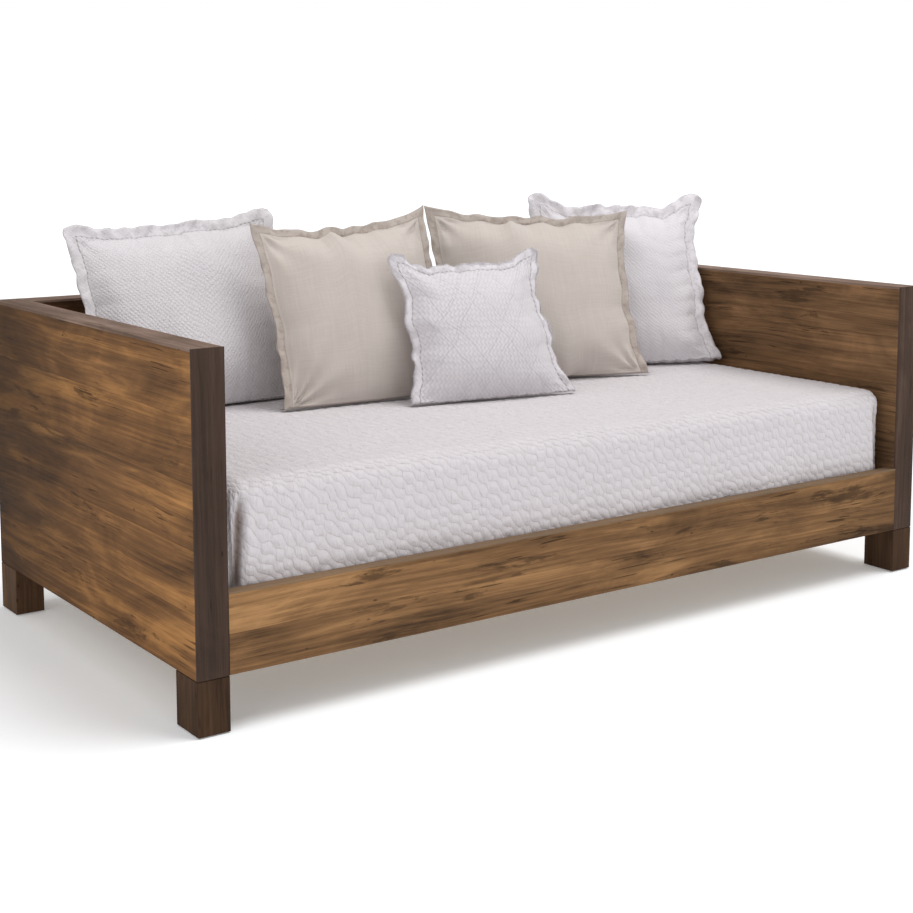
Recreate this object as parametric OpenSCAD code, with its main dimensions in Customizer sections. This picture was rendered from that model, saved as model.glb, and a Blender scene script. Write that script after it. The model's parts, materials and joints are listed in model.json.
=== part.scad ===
// Daybed with two panel ends, a panel back, a low front rail and a made-up mattress with five cushions.
// Millimetres. +Z is up and the front faces -Y. The origin is on the floor under the middle of the bed.

/* [Overall] */
// Length over both end panels
overall_length = 2100; // [1700:10:2600]
// Depth from the front edges to the back panel's rear face
overall_depth = 1070; // [880:10:1400]
// Height of the end panels and of the back panel above the floor
overall_height = 760; // [630:5:950]

/* [Panels] */
// Thickness of each hollow end panel
panel_thickness = 70; // [55:1:100]
// Thickness of the hollow back panel
back_thickness = 70; // [55:1:100]
// Thickness of the boards that face the panels
face_thickness = 18; // [12:1:24]
// Thickness of the lippings that close the panels' edges
lipping_thickness = 6; // [3:1:12]
// Width of the rails inside the panels
core_rail_width = 60; // [40:5:90]
// Radius that softens the outer edges of the wood
edge_radius = 2; // [1:0.5:3]

/* [Feet] */
// Height of the feet, up to the panels' lower edge
foot_height = 115; // [90:5:180]
// Depth of each foot, front to back
foot_depth = 96; // [80:2:130]
// Height and inset of the shadow seam on top of each foot
seam_size = 2; // [1:0.5:4]
// Thickness of the nylon glides under the feet
glide_thickness = 3; // [2:0.5:6]

/* [Front rail] */
// Height of the front rail
rail_height = 165; // [140:5:260]
// Thickness of the front rail
rail_thickness = 30; // [22:1:45]

/* [Slats] */
// Number of slats
slat_count = 10; // [8:1:11]
// Width of each slat
slat_width = 95; // [60:5:120]
// Thickness of each slat
slat_thickness = 18; // [14:1:25]
// Height of the ledgers that carry the slats
ledger_height = 40; // [30:2:60]
// Thickness of the ledgers
ledger_thickness = 28; // [20:1:40]
// Depth of the slats' top below the rail's top
mattress_recess = 45; // [25:5:70]

/* [Mattress and coverlet] */
// Thickness of the mattress
mattress_thickness = 250; // [180:5:300]
// Gap between the mattress and each end panel
mattress_end_gap = 18; // [12:1:60]
// Radius of the mattress's edges
mattress_radius = 45; // [20:5:60]
// Thickness of the mattress cover
ticking_thickness = 4; // [2:1:8]
// Thickness of the quilted coverlet
coverlet_thickness = 5; // [3:1:10]
// How far the coverlet's hem is tucked below the rail's top
coverlet_tuck = 20; // [10:5:35]

/* [Cushions] */
// Width of the left white sham over its flange
left_sham_width = 600; // [450:10:700]
// Width of the right white sham over its flange
right_sham_width = 530; // [450:10:700]
// Height of the white shams over their flanges
sham_height = 495; // [400:5:600]
// Thickness of the white shams
sham_thickness = 150; // [100:5:180]
// Width of the left linen cushion over its flange
left_linen_width = 530; // [400:10:600]
// Width of the right linen cushion over its flange
right_linen_width = 570; // [400:10:600]
// Height of the linen cushions over their flanges
linen_height = 490; // [400:5:600]
// Thickness of the linen cushions
linen_thickness = 140; // [90:5:170]
// Width of the small cushion
small_width = 440; // [300:10:500]
// Height of the small cushion
small_height = 385; // [280:5:450]
// Thickness of the small cushion
small_thickness = 120; // [80:5:150]
// Lean of every cushion from upright, in degrees
cushion_lean = 22; // [15:1:28]

/* [Hidden] */
fine = 48;
touch_gap = 1.5;      // clearance between soft pieces and what they rest against

// Planes of the wooden frame
x_outer = overall_length / 2;
x_inner = x_outer - panel_thickness;
y_front = -overall_depth / 2;
y_rear = overall_depth / 2;
y_back_face = y_rear - back_thickness;
y_rail_back = y_front + rail_thickness;
z_rail_top = foot_height + rail_height;
z_slat_top = z_rail_top - mattress_recess;
z_ledger_top = z_slat_top - slat_thickness;
z_face_top = overall_height - lipping_thickness;
panel_core = panel_thickness - 2 * face_thickness;
back_core = back_thickness - 2 * face_thickness;

// Hardware
dowel_d = 10;
dowel_length = 60;
dowel_spread = 56;
foot_bolt_d = 8;
foot_bolt_grip = 60;     // wood between the bolt's head and the foot's top
foot_bolt_reach = 24;    // how far the bolt goes into the panel
bolt_head_d = 13;
bolt_head_h = 8;
counterbore_d = 16;
glide_d = 36;
glide_stem_h = 12;
insert_d = 12;
insert_length = face_thickness;
bracket_leg = 40;
bracket_plate = 4;
bracket_height = 84;
bracket_foot_gap = 13;   // from the panels' lower edge to the bracket
bracket_hole_inset = 22; // from the bracket's heel to its holes
bracket_hole_low = 28;   // from the bracket's lower edge to its lower holes
bracket_hole_high = 18;  // from the bracket's upper edge to its upper holes
bracket_bolt_d = 8;
bracket_bolt_reach = 28;
bracket_bolt_head_h = 5;
screw_d = 5;
screw_head_d = 9;
screw_head_h = 3;
screw_reach = 15;
slat_screw_d = 4;
slat_screw_head_d = 8;
slat_screw_head_h = 2;
slat_screw_length = 45;
ledger_end_gap = bracket_leg + 10;
ledger_screw_count = 7;
ledger_screw_end = 60;   // from a ledger's end to its first screw

// Holes of one bracket, as heights above the floor
bracket_z = foot_height + bracket_foot_gap;
bracket_hole_z = [bracket_z + bracket_hole_low, bracket_z + bracket_height - bracket_hole_high];

// The stiles inside the panels reach past the feet and past the rear brackets' bolts
stile_reach = max(foot_depth, back_thickness + 2 * bracket_hole_inset);
stile_width = stile_reach - lipping_thickness;

// Mattress and coverlet
bed_half_length = x_inner - mattress_end_gap;
bed_y_front = y_rail_back + coverlet_thickness + touch_gap;
bed_y_rear = y_back_face - coverlet_thickness - touch_gap;
bed_depth = bed_y_rear - bed_y_front;
bed_top = z_slat_top + mattress_thickness + coverlet_thickness;
hem_z = z_rail_top - coverlet_tuck;

// Slats
slat_end_gap = 2;
slat_margin = 35;
slat_pitch = (2 * (x_inner - slat_margin) - slat_width) / (slat_count - 1);
slat_screw_inset = ledger_thickness / 2;

// Cushions. The back row leans on the back panel's top edge or stands before it.
cover_wall = 3;
filling_gap = 1;
filling_inset = 4;
cavity_inset = 12;
cushion_corner_r = 22;
flange_plate = 6;
sham_flange = 30;
linen_flange = 24;
small_flange = 12;
lean_rise = min(overall_height - bed_top, sham_height * cos(cushion_lean));
lean_reach = lean_rise * tan(cushion_lean);
back_row = lean_reach + sham_thickness / 2 / cos(cushion_lean) + touch_gap;
row_gap = 20;            // between the shams and the linen cushions
row_step = (sham_thickness + linen_thickness) / 2 / cos(cushion_lean) + row_gap;
front_step = (linen_thickness + small_thickness) / 2 / cos(cushion_lean);
corner_turn = 25;        // turn of the right white sham into the corner
linen_turn = 20;         // turn of the right linen cushion
end_room = 62;           // from the left end panel to the left white sham
corner_sweep = lean_reach * sin(corner_turn);
corner_room = 8;         // from the right end panel to the right white sham
corner_lead = 74;        // the turned right sham's middle stands this far before the back row
linen_lead = 46;         // the right linen cushion stands this far behind the left one
left_linen_turn = 3;     // turn of the left linen cushion
small_turn = 9;          // turn of the small cushion
left_sham_x = -x_inner + end_room + left_sham_width / 2;
right_sham_x = x_inner - corner_room - right_sham_width / 2 * cos(corner_turn) - corner_sweep;
left_linen_share = -0.24;  // places along the bed, as shares of its inner half length
right_linen_share = 0.342;
small_share = 0.022;
left_linen_x = left_linen_share * x_inner;
right_linen_x = right_linen_share * x_inner;
small_x = small_share * x_inner;
middle_row = back_row + row_step;
front_row = middle_row + front_step + touch_gap;

// ---------- helpers ----------

// A box between two corners
module block(low, high) {
    translate(low) cube(high - low);
}

// A rectangle whose corners listed in soft are rounded: 0 low-left, 1 low-right, 2 high-right, 3 high-left
module soft_rectangle(w, h, r, soft) {
    corners = [[r, r], [w - r, r], [w - r, h - r], [r, h - r]];
    squares = [[0, 0], [w - r, 0], [w - r, h - r], [0, h - r]];
    difference() {
        square([w, h]);
        for (i = soft) difference() {
            translate(squares[i]) square(r);
            translate(corners[i]) circle(r, $fn = fine);
        }
    }
}

// A block with every edge rounded, made of three crossing extrusions
module rounded_block(size, r) {
    all = [0, 1, 2, 3];
    intersection() {
        linear_extrude(size.z) soft_rectangle(size.x, size.y, r, all);
        translate([0, size.y, 0]) rotate([90, 0, 0])
            linear_extrude(size.y) soft_rectangle(size.x, size.z, r, all);
        rotate([90, 0, 90]) linear_extrude(size.x) soft_rectangle(size.y, size.z, r, all);
    }
}

// The left end is modelled, and the right end is its mirror image
module on_side(side) {
    if (side == "right") mirror([1, 0, 0]) children();
    else children();
}

// The front is modelled, and the rear is its mirror image
module on_row(row) {
    if (row == "rear") mirror([0, 1, 0]) children();
    else children();
}

// Repeats a piece at both ends and both rows of the frame
module at_four_corners() {
    for (side = ["left", "right"]) for (row = ["front", "rear"]) on_side(side) on_row(row) children();
}

// ---------- end panels ----------

module end_face(x_low) {
    block([x_low, y_front + lipping_thickness, foot_height],
        [x_low + face_thickness, y_rear - lipping_thickness, z_face_top]);
}

module end_outer_face() {
    color("#7d5b3a") end_face(-x_outer);
}

// The inner face is drilled for the inserts of the corner brackets
module end_inner_face() {
    color("#6b4d33") difference() {
        end_face(-x_inner - face_thickness);
        for (row = ["front", "rear"]) on_corner_row(row) bracket_bolt_line(insert_d, insert_length, 0);
    }
}

module end_lipping() {
    color("#4a3a33") translate([-x_outer, y_front, foot_height])
        linear_extrude(overall_height - foot_height)
            soft_rectangle(panel_thickness, lipping_thickness, edge_radius, [0, 1]);
}

module end_top_lipping() {
    color("#9a8b7a") translate([-x_outer, y_rear - lipping_thickness, z_face_top]) rotate([90, 0, 0])
        linear_extrude(overall_depth - 2 * lipping_thickness)
            soft_rectangle(panel_thickness, lipping_thickness, edge_radius, [2, 3]);
}

// The stile above a foot takes the foot's bolt and dowels and the ends of the bracket's bolts
module end_stile(row) {
    color("#c9a878") difference() {
        on_row(row) block([-x_outer + face_thickness, y_front + lipping_thickness, foot_height],
            [-x_inner - face_thickness, y_front + stile_reach, z_face_top]);
        on_row(row) foot_shaft_holes();
        on_row(row) at_foot() translate([0, 0, foot_height])
            cylinder(d = insert_d, h = insert_length, $fn = fine);
        on_corner_row(row) bracket_bolt_line(bracket_bolt_d, bracket_bolt_reach, insert_length);
    }
}

module end_core_rails() {
    y_low = y_front + stile_reach;
    z_mid = (foot_height + z_face_top) / 2;
    color("#c9a878") for (z = [foot_height, z_mid - core_rail_width / 2, z_face_top - core_rail_width])
        block([-x_outer + face_thickness, y_low, z],
            [-x_inner - face_thickness, -y_low, z + core_rail_width]);
}

// ---------- back panel ----------

module back_face(y_low, drilled) {
    difference() {
        block([-x_inner, y_low, foot_height], [x_inner, y_low + face_thickness, z_face_top]);
        if (drilled) {
            for (side = ["left", "right"]) on_side(side) on_corner_row("rear") screw_pair(screw_d, screw_reach);
            rear_ledger_screws() screw_hole();
        }
    }
}

module back_front_face() {
    color("#6b4d33") back_face(y_back_face, true);
}

module back_rear_face() {
    color("#7d5b3a") back_face(y_rear - face_thickness, false);
}

module back_top_lipping() {
    color("#9a8b7a") translate([-x_inner, 0, 0]) rotate([90, 0, 90]) translate([y_back_face, z_face_top])
        linear_extrude(2 * x_inner)
            soft_rectangle(back_thickness, lipping_thickness, edge_radius, [2, 3]);
}

module back_core_stiles() {
    y_low = y_back_face + face_thickness;
    color("#c9a878") for (x = [-x_inner, -stile_width / 2, x_inner - stile_width])
        block([x, y_low, foot_height], [x + stile_width, y_low + back_core, z_face_top]);
}

module back_core_rails() {
    y_low = y_back_face + face_thickness;
    bay = x_inner - 1.5 * stile_width;
    color("#c9a878") for (x = [-x_inner + stile_width, stile_width / 2])
        for (z = [foot_height, z_face_top - core_rail_width])
            block([x, y_low, z], [x + bay, y_low + back_core, z + core_rail_width]);
}

// ---------- front rail ----------

module rail_board(z_low, soft) {
    color("#8c6440") difference() {
        translate([-x_inner, 0, 0]) rotate([90, 0, 90]) translate([y_front, z_low])
            linear_extrude(2 * x_inner)
                soft_rectangle(rail_thickness, rail_height / 2, edge_radius, soft);
        for (side = ["left", "right"]) on_side(side) on_corner_row("front") screw_pair(screw_d, screw_reach);
        front_ledger_screws() screw_hole();
    }
}

module front_rail_upper_board() {
    rail_board(foot_height + rail_height / 2, [2, 3]);
}

module front_rail_lower_board() {
    rail_board(foot_height, [0, 1]);
}

// ---------- feet ----------

// Moves to the middle of the front left foot, on the floor
module at_foot() {
    translate([-x_outer + panel_thickness / 2, y_front + foot_depth / 2, 0]) children();
}

// The two dowels of one foot, half in the foot and half in the stile
module dowel_pair() {
    for (s = [-1, 1]) translate([0, s * dowel_spread / 2, foot_height - dowel_length / 2])
        cylinder(d = dowel_d, h = dowel_length, $fn = fine);
}

// The holes for one foot's bolt, its counterbore and its dowels
module foot_shaft_holes() {
    at_foot() {
        cylinder(d = foot_bolt_d, h = foot_height + foot_bolt_reach, $fn = fine);
        cylinder(d = counterbore_d, h = foot_height - foot_bolt_grip, $fn = fine);
        dowel_pair();
    }
}

module foot(side, row) {
    color("#5b4636") on_side(side) on_row(row) difference() {
        union() {
            translate([-x_outer, y_front, glide_thickness])
                linear_extrude(foot_height - seam_size - glide_thickness)
                    soft_rectangle(panel_thickness, foot_depth, edge_radius, [0, 1, 2, 3]);
            block([-x_outer + seam_size, y_front + seam_size, foot_height - seam_size],
                [-x_inner - seam_size, y_front + foot_depth - seam_size, foot_height]);
        }
        foot_shaft_holes();
    }
}

module foot_dowels() {
    color("#d8bb8a") at_four_corners() at_foot() dowel_pair();
}

module foot_bolts() {
    z_seat = foot_height - foot_bolt_grip;
    color("silver") at_four_corners() at_foot() {
        translate([0, 0, z_seat - bolt_head_h]) cylinder(d = bolt_head_d, h = bolt_head_h, $fn = fine);
        translate([0, 0, z_seat]) cylinder(d = foot_bolt_d, h = foot_bolt_grip + foot_bolt_reach, $fn = fine);
    }
}

module foot_glides() {
    color("#2b2b2b") at_four_corners() at_foot() {
        cylinder(d = glide_d, h = glide_thickness, $fn = fine);
        cylinder(d = counterbore_d, h = glide_thickness + glide_stem_h, $fn = fine);
    }
}

// ---------- corner brackets and their fixings ----------

// Moves a corner's hardware from the front to the rear: the rail is thinner than the back panel
module on_corner_row(row) {
    if (row == "rear") mirror([0, 1, 0]) translate([0, y_front - y_rail_back + back_thickness, 0]) children();
    else children();
}

// Cylinders on the lines of the two bolts of one bracket, going into the end panel
module bracket_bolt_line(d, length, start) {
    for (z = bracket_hole_z)
        translate([-x_inner - start, y_rail_back + bracket_hole_inset, z]) rotate([0, -90, 0])
            cylinder(d = d, h = length - start, $fn = fine);
}

// Cylinders on the lines of the two screws of one bracket, going into the rail or the back panel
module screw_pair(d, length) {
    for (z = bracket_hole_z)
        translate([-x_inner + bracket_hole_inset, y_rail_back, z]) rotate([90, 0, 0])
            cylinder(d = d, h = length, $fn = fine);
}

module corner_bracket() {
    difference() {
        translate([-x_inner, y_rail_back, bracket_z]) union() {
            cube([bracket_plate, bracket_leg, bracket_height]);
            cube([bracket_leg, bracket_plate, bracket_height]);
        }
        translate([bracket_plate, 0, 0]) bracket_bolt_line(bracket_bolt_d, bracket_plate, 0);
        translate([0, bracket_plate, 0]) screw_pair(screw_d, bracket_plate);
    }
}

module corner_brackets() {
    color("#9aa0a6") for (side = ["left", "right"]) for (row = ["front", "rear"])
        on_side(side) on_corner_row(row) corner_bracket();
}

module bracket_bolt_pair() {
    translate([bracket_plate + bracket_bolt_head_h, 0, 0])
        bracket_bolt_line(bolt_head_d, bracket_bolt_head_h, 0);
    translate([bracket_plate, 0, 0])
        bracket_bolt_line(bracket_bolt_d, bracket_plate + bracket_bolt_reach, 0);
}

module bracket_bolts() {
    color("silver") for (side = ["left", "right"]) for (row = ["front", "rear"])
        on_side(side) on_corner_row(row) bracket_bolt_pair();
}

// Sleeves in the end panels for the brackets' bolts and in the stiles for the feet's bolts
module threaded_inserts() {
    color("#b9975b") {
        for (side = ["left", "right"]) for (row = ["front", "rear"]) on_side(side) on_corner_row(row)
            difference() {
                bracket_bolt_line(insert_d, insert_length, 0);
                bracket_bolt_line(bracket_bolt_d, insert_length, 0);
            }
        at_four_corners() at_foot() translate([0, 0, foot_height]) difference() {
            cylinder(d = insert_d, h = insert_length, $fn = fine);
            cylinder(d = foot_bolt_d, h = insert_length, $fn = fine);
        }
    }
}

// ---------- ledgers, slats and screws ----------

// Places of the ledger screws along the bed
ledger_half = x_inner - ledger_end_gap;
ledger_screw_x = [for (i = [0:ledger_screw_count - 1])
    -ledger_half + ledger_screw_end
        + i * 2 * (ledger_half - ledger_screw_end) / (ledger_screw_count - 1)];
ledger_screw_z = z_ledger_top - ledger_height / 2;

module front_ledger_screws() {
    for (x = ledger_screw_x) translate([x, y_rail_back, ledger_screw_z]) children();
}

module rear_ledger_screws() {
    for (x = ledger_screw_x) translate([x, y_back_face, ledger_screw_z]) mirror([0, 1, 0]) children();
}

// A hole for one screw, from the ledger's outside into the board behind it
module screw_hole() {
    translate([0, ledger_thickness, 0]) rotate([90, 0, 0])
        cylinder(d = screw_d, h = ledger_thickness + screw_reach, $fn = fine);
}

module slat_x(i) {
    translate([-x_inner + slat_margin + slat_width / 2 + i * slat_pitch, 0, 0]) children();
}

// The two countersunk screws of one slat, which end in the ledgers
module slat_screw_pair() {
    for (y = [y_rail_back + slat_screw_inset, y_back_face - slat_screw_inset])
        translate([0, y, z_slat_top]) {
            translate([0, 0, -slat_screw_length]) cylinder(d = slat_screw_d, h = slat_screw_length, $fn = fine);
            translate([0, 0, -slat_screw_head_h])
                cylinder(d1 = slat_screw_d, d2 = slat_screw_head_d, h = slat_screw_head_h, $fn = fine);
        }
}

// One ledger, drilled for the slats' screws and for its own, which are its children
module ledger(y_low) {
    color("#cfae7c") difference() {
        block([-ledger_half, y_low, z_ledger_top - ledger_height],
            [ledger_half, y_low + ledger_thickness, z_ledger_top]);
        children();
        for (i = [0:slat_count - 1]) slat_x(i) slat_screw_pair();
    }
}

module front_ledger() {
    ledger(y_rail_back) front_ledger_screws() screw_hole();
}

module rear_ledger() {
    ledger(y_back_face - ledger_thickness) rear_ledger_screws() screw_hole();
}

module wood_screw(stand_off) {
    translate([0, stand_off, 0]) rotate([90, 0, 0])
        cylinder(d = screw_d, h = stand_off + screw_reach, $fn = fine);
    translate([0, stand_off + screw_head_h, 0]) rotate([90, 0, 0])
        cylinder(d = screw_head_d, h = screw_head_h, $fn = fine);
}

// Pan-head screws of the ledgers and of the brackets
module wood_screws() {
    color("silver") {
        front_ledger_screws() wood_screw(ledger_thickness);
        rear_ledger_screws() wood_screw(ledger_thickness);
        for (side = ["left", "right"]) for (row = ["front", "rear"]) on_side(side) on_corner_row(row)
            for (z = bracket_hole_z)
                translate([-x_inner + bracket_hole_inset, y_rail_back, z]) wood_screw(bracket_plate);
    }
}

module slat_screws() {
    color("silver") for (i = [0:slat_count - 1]) slat_x(i) slat_screw_pair();
}

module slat(i) {
    color("#d9bd8f") slat_x(i) difference() {
        block([-slat_width / 2, y_rail_back + slat_end_gap, z_ledger_top],
            [slat_width / 2, y_back_face - slat_end_gap, z_slat_top]);
        slat_screw_pair();
    }
}

// ---------- mattress and coverlet ----------

module mattress_shape(shrink) {
    translate([-bed_half_length + shrink, bed_y_front + shrink, z_slat_top + shrink])
        rounded_block([2 * (bed_half_length - shrink), bed_depth - 2 * shrink,
            mattress_thickness - 2 * shrink], mattress_radius - shrink);
}

module mattress_core() {
    color("#efe6c8") mattress_shape(ticking_thickness);
}

module mattress_cover() {
    color("#f1efe9") difference() {
        mattress_shape(0);
        mattress_shape(ticking_thickness);
    }
}

// The coverlet lies on the mattress and hangs down all four sides to its tucked hem
module coverlet() {
    color("#dedbe2") difference() {
        mattress_shape(-coverlet_thickness);
        mattress_shape(0);
        block([-x_outer, y_front, 0], [x_outer, y_rear, hem_z]);
    }
}

// ---------- cushions ----------

// The overlap of two discs, a lens of the given chord and thickness
module lens(chord, thickness) {
    r = (chord * chord / 4 + thickness * thickness / 4) / thickness;
    intersection() {
        translate([0, r - thickness / 2]) circle(r, $fn = 4 * fine);
        translate([0, thickness / 2 - r]) circle(r, $fn = 4 * fine);
    }
}

// A crowned pad, thick in the middle and thin along all four sides, standing in its own XY plane
module crowned_pad(w, h, t) {
    intersection() {
        rotate([90, 0, 0]) linear_extrude(2 * h, center = true) lens(w, t);
        rotate([90, 0, 90]) linear_extrude(2 * w, center = true) lens(h, t);
    }
}

// Stands a cushion up: its lower edge at the place given, leaning back and turned about the vertical
module stand_cushion(x, setback, turn, h) {
    translate([x, y_back_face - setback, bed_top + touch_gap + flange_plate / 2]) rotate([0, 0, -turn])
        rotate([90 - cushion_lean, 0, 0]) translate([0, h / 2, 0]) children();
}

module cushion_cover(w, h, t, flange) {
    difference() {
        union() {
            crowned_pad(w - 2 * flange, h - 2 * flange, t);
            translate([-w / 2, -h / 2, -flange_plate / 2]) linear_extrude(flange_plate)
                soft_rectangle(w, h, cushion_corner_r, [0, 1, 2, 3]);
        }
        crowned_pad(w - 2 * (flange + cavity_inset), h - 2 * (flange + cavity_inset), t - 2 * cover_wall);
    }
}

module cushion_filling(w, h, t, flange) {
    inset = flange + cavity_inset + filling_inset;
    crowned_pad(w - 2 * inset, h - 2 * inset, t - 2 * cover_wall - 2 * filling_gap);
}

module left_sham() {
    stand_cushion(left_sham_x, back_row, 0, sham_height) children();
}

module right_sham() {
    stand_cushion(right_sham_x, back_row + corner_lead, corner_turn, sham_height) children();
}

module left_linen() {
    stand_cushion(left_linen_x, middle_row, left_linen_turn, linen_height) children();
}

module right_linen() {
    stand_cushion(right_linen_x, middle_row - linen_lead, linen_turn, linen_height) children();
}

module small_cushion() {
    stand_cushion(small_x, front_row, small_turn, small_height) children();
}

module left_sham_cover() {
    color("#dcdad9") left_sham() cushion_cover(left_sham_width, sham_height, sham_thickness, sham_flange);
}

module left_sham_filling() {
    color("#f4f2ea") left_sham() cushion_filling(left_sham_width, sham_height, sham_thickness, sham_flange);
}

module right_sham_cover() {
    color("#dcdad9") right_sham() cushion_cover(right_sham_width, sham_height, sham_thickness, sham_flange);
}

module right_sham_filling() {
    color("#f4f2ea") right_sham() cushion_filling(right_sham_width, sham_height, sham_thickness, sham_flange);
}

module left_linen_cover() {
    color("#b9aa99") left_linen() cushion_cover(left_linen_width, linen_height, linen_thickness, linen_flange);
}

module left_linen_filling() {
    color("#f4f2ea") left_linen() cushion_filling(left_linen_width, linen_height, linen_thickness, linen_flange);
}

module right_linen_cover() {
    color("#b9aa99") right_linen()
        cushion_cover(right_linen_width, linen_height, linen_thickness, linen_flange);
}

module right_linen_filling() {
    color("#f4f2ea") right_linen()
        cushion_filling(right_linen_width, linen_height, linen_thickness, linen_flange);
}

module small_cushion_cover() {
    color("#e4e2df") small_cushion() cushion_cover(small_width, small_height, small_thickness, small_flange);
}

module small_cushion_filling() {
    color("#f4f2ea") small_cushion() cushion_filling(small_width, small_height, small_thickness, small_flange);
}

// ---------- what is drawn ----------

for (side = ["left", "right"]) {
    on_side(side) end_outer_face();
    on_side(side) end_inner_face();
    on_side(side) end_lipping();
    on_side(side) on_row("rear") end_lipping();
    on_side(side) end_top_lipping();
    on_side(side) end_stile("front");
    on_side(side) end_stile("rear");
    on_side(side) end_core_rails();
}
back_front_face();
back_rear_face();
back_top_lipping();
back_core_stiles();
back_core_rails();
front_rail_upper_board();
front_rail_lower_board();
for (row = ["front", "rear"]) for (side = ["left", "right"])
    foot(side, row);
foot_dowels();
foot_bolts();
foot_glides();
threaded_inserts();
corner_brackets();
bracket_bolts();
wood_screws();
slat_screws();
front_ledger();
rear_ledger();
for (i = [1:slat_count]) slat(i - 1);
mattress_core();
mattress_cover();
coverlet();
left_sham_cover();
left_sham_filling();
right_sham_cover();
right_sham_filling();
left_linen_cover();
left_linen_filling();
right_linen_cover();
right_linen_filling();
small_cushion_cover();
small_cushion_filling();
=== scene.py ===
import math

import bpy
import numpy as np
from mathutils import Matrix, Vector
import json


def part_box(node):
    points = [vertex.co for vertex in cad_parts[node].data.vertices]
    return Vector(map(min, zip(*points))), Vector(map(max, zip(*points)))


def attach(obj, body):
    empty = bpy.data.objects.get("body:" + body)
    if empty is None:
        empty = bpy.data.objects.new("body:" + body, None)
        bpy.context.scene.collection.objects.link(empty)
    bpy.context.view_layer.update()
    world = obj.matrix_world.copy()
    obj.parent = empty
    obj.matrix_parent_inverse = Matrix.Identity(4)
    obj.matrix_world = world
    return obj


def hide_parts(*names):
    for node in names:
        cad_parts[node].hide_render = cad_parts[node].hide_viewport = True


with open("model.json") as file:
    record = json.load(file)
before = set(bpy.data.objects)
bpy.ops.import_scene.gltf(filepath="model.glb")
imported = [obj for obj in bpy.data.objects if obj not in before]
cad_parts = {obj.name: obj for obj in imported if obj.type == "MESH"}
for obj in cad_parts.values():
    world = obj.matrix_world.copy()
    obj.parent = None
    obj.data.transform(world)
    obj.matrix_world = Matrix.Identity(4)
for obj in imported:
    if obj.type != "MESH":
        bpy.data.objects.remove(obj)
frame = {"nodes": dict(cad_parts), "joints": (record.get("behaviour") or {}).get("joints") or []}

scene = bpy.context.scene
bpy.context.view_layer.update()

# -----
# The two ends and the back: flush panels of horizontal softwood staves, glued
# side by side, stained dark brown by hand and rubbed back to gold in streaks.


def rgb(red, green, blue):
    """A colour given in everyday 0 to 255 values, made linear for the shader."""
    parts = np.array([red, green, blue]) / 255
    linear = np.where(parts > 0.04045, ((parts + 0.055) / 1.055) ** 2.4, parts / 12.92)
    return (*linear.tolist(), 1.0)


class Shader:
    """One material. Each method adds a node, fills its inputs in order and gives its output."""

    def __init__(self, name):
        self.material = bpy.data.materials.new(name)
        self.material.use_nodes = True
        self.tree = self.material.node_tree
        self.surface = self.tree.nodes["Principled BSDF"]

    def put(self, socket, value):
        if isinstance(value, bpy.types.NodeSocket):
            self.tree.links.new(value, socket)
        elif value is not None:
            socket.default_value = value

    def add(self, kind, *values, **settings):
        node = self.tree.nodes.new("ShaderNode" + kind)
        for key, value in settings.items():
            setattr(node, key, value)
        for socket, value in zip(node.inputs, values):
            self.put(socket, value)
        return node

    def sum(self, operation, *values):
        return self.add("Math", *values, operation=operation).outputs[0]

    def scaled(self, vector, factors):
        return self.add("VectorMath", vector, factors, operation="MULTIPLY").outputs[0]

    def noise(self, vector, detail=2.0, rough=0.5, warp=0.0):
        node = self.add("TexNoise", vector)
        for key, value in (("Scale", 1.0), ("Detail", detail), ("Roughness", rough), ("Distortion", warp)):
            self.put(node.inputs[key], value)
        return node.outputs["Fac"]

    def step(self, value, low, high):
        node = self.add("MapRange", value, low, high, 0.0, 1.0, interpolation_type="SMOOTHSTEP")
        return node.outputs[0]

    def mix(self, factor, first, second, blend="MIX"):
        node = self.add("Mix", factor, data_type="RGBA", blend_type=blend)
        self.put(node.inputs[6], first)
        self.put(node.inputs[7], second)
        return node.outputs[2]

    def ramp(self, value, *stops):
        node = self.add("ValToRGB", value)
        steps = node.color_ramp.elements
        while len(steps) < len(stops):
            steps.new(0.5)
        for element, (place, colour) in zip(steps, stops):
            element.position = place
            element.color = colour
        return node.outputs[0]

    def finish(self, colour, rough, height=None, shine=0.5, metal=0.0, fuzz=0.0):
        """Joins colour, roughness and a height in metres to the surface, and gives the material."""
        names = {"Base Color": colour, "Roughness": rough, "Specular IOR Level": shine}
        names.update({"Metallic": metal, "Sheen Weight": fuzz})
        for key, value in names.items():
            self.put(self.surface.inputs[key], value)
        if height is not None:
            bump = self.add("Bump")
            self.put(bump.inputs["Strength"], 1.0)
            self.put(bump.inputs["Distance"], 1.0)
            self.put(bump.inputs["Height"], height)
            self.put(self.surface.inputs["Normal"], bump.outputs[0])
        return self.material


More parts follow.
